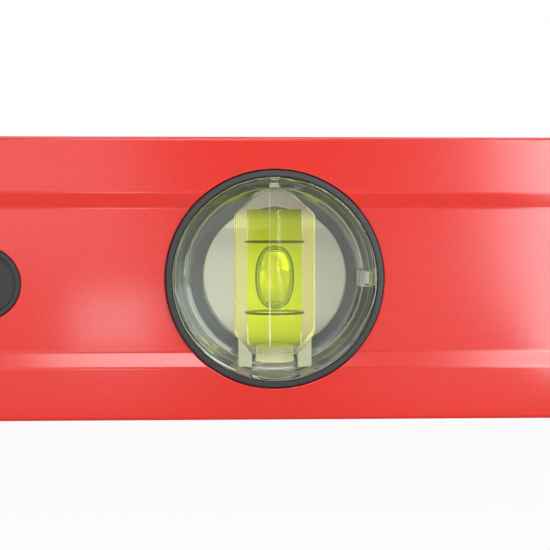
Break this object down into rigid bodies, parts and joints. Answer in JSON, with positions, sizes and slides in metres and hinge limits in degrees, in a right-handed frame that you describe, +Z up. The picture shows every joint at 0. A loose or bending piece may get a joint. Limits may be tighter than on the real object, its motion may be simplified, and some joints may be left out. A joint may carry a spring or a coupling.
{
  "type": "spirit level",
  "caption": "Box-beam spirit level with round plumb windows, a top-read centre vial and running bubbles.",
  "frame": {"origin": "middle of the measuring face, on which the level stands", "axes": "+X along the level, +Y from the front face to the rear face, +Z up"},
  "size_m": [0.6, 0.025, 0.06],
  "materials": {
    "red_paint": "satin powder coat on an aluminium extrusion",
    "cap_plastic": "matte moulded",
    "black_plastic": "satin moulded",
    "clear_plastic": "polished clear acrylic",
    "black_paint": "printed line",
    "vial_liquid": "clear yellow-green liquid",
    "vial_air": "air bubble",
    "white_plastic": "satin white"
  },
  "bodies": {
    "level": {"beam": "red_paint", "left_end_cap": "cap_plastic", "right_end_cap": "cap_plastic", "hang_plug_front": "black_plastic", "hang_plug_rear": "black_plastic", "centre_housing": "black_plastic", "centre_cover": "clear_plastic", "centre_reflector": "white_plastic", "left_ring_front": "black_plastic", "left_ring_rear": "black_plastic", "left_lens_front": "clear_plastic", "left_lens_rear": "clear_plastic", "left_carrier": "clear_plastic", "left_vial_body": "clear_plastic", "left_level_lines": "black_paint", "left_liquid": "vial_liquid", "left_seal_plug": "clear_plastic", "right_ring_front": "black_plastic", "right_ring_rear": "black_plastic", "right_lens_front": "clear_plastic", "right_lens_rear": "clear_plastic", "right_carrier": "clear_plastic", "right_vial_body": "clear_plastic", "right_level_lines": "black_paint", "right_liquid": "vial_liquid", "right_seal_plug": "clear_plastic", "centre_vial_body": "clear_plastic", "centre_level_lines": "black_paint", "centre_liquid": "vial_liquid", "centre_seal_plug": "clear_plastic"},
    "left_bubble": {"left_bubble": "vial_air"},
    "right_bubble": {"right_bubble": "vial_air"},
    "centre_bubble": {"centre_bubble": "vial_air"}
  },
  "joints": [
    {"name": "left_bubble_run", "type": "slide", "parent": "level", "child": "left_bubble", "axis": [0, 0, 1], "range_m": [-0.0075, 0.0075], "stiffness_N_per_m": 60, "deforming": ["left_liquid"]},
    {"name": "right_bubble_run", "type": "slide", "parent": "level", "child": "right_bubble", "axis": [0, 0, 1], "range_m": [-0.0075, 0.0075], "stiffness_N_per_m": 60, "deforming": ["right_liquid"]},
    {"name": "centre_bubble_run", "type": "slide", "parent": "level", "child": "centre_bubble", "axis": [1, 0, 0], "range_m": [-0.0105, 0.0105], "stiffness_N_per_m": 60, "deforming": ["centre_liquid"]}
  ]
}
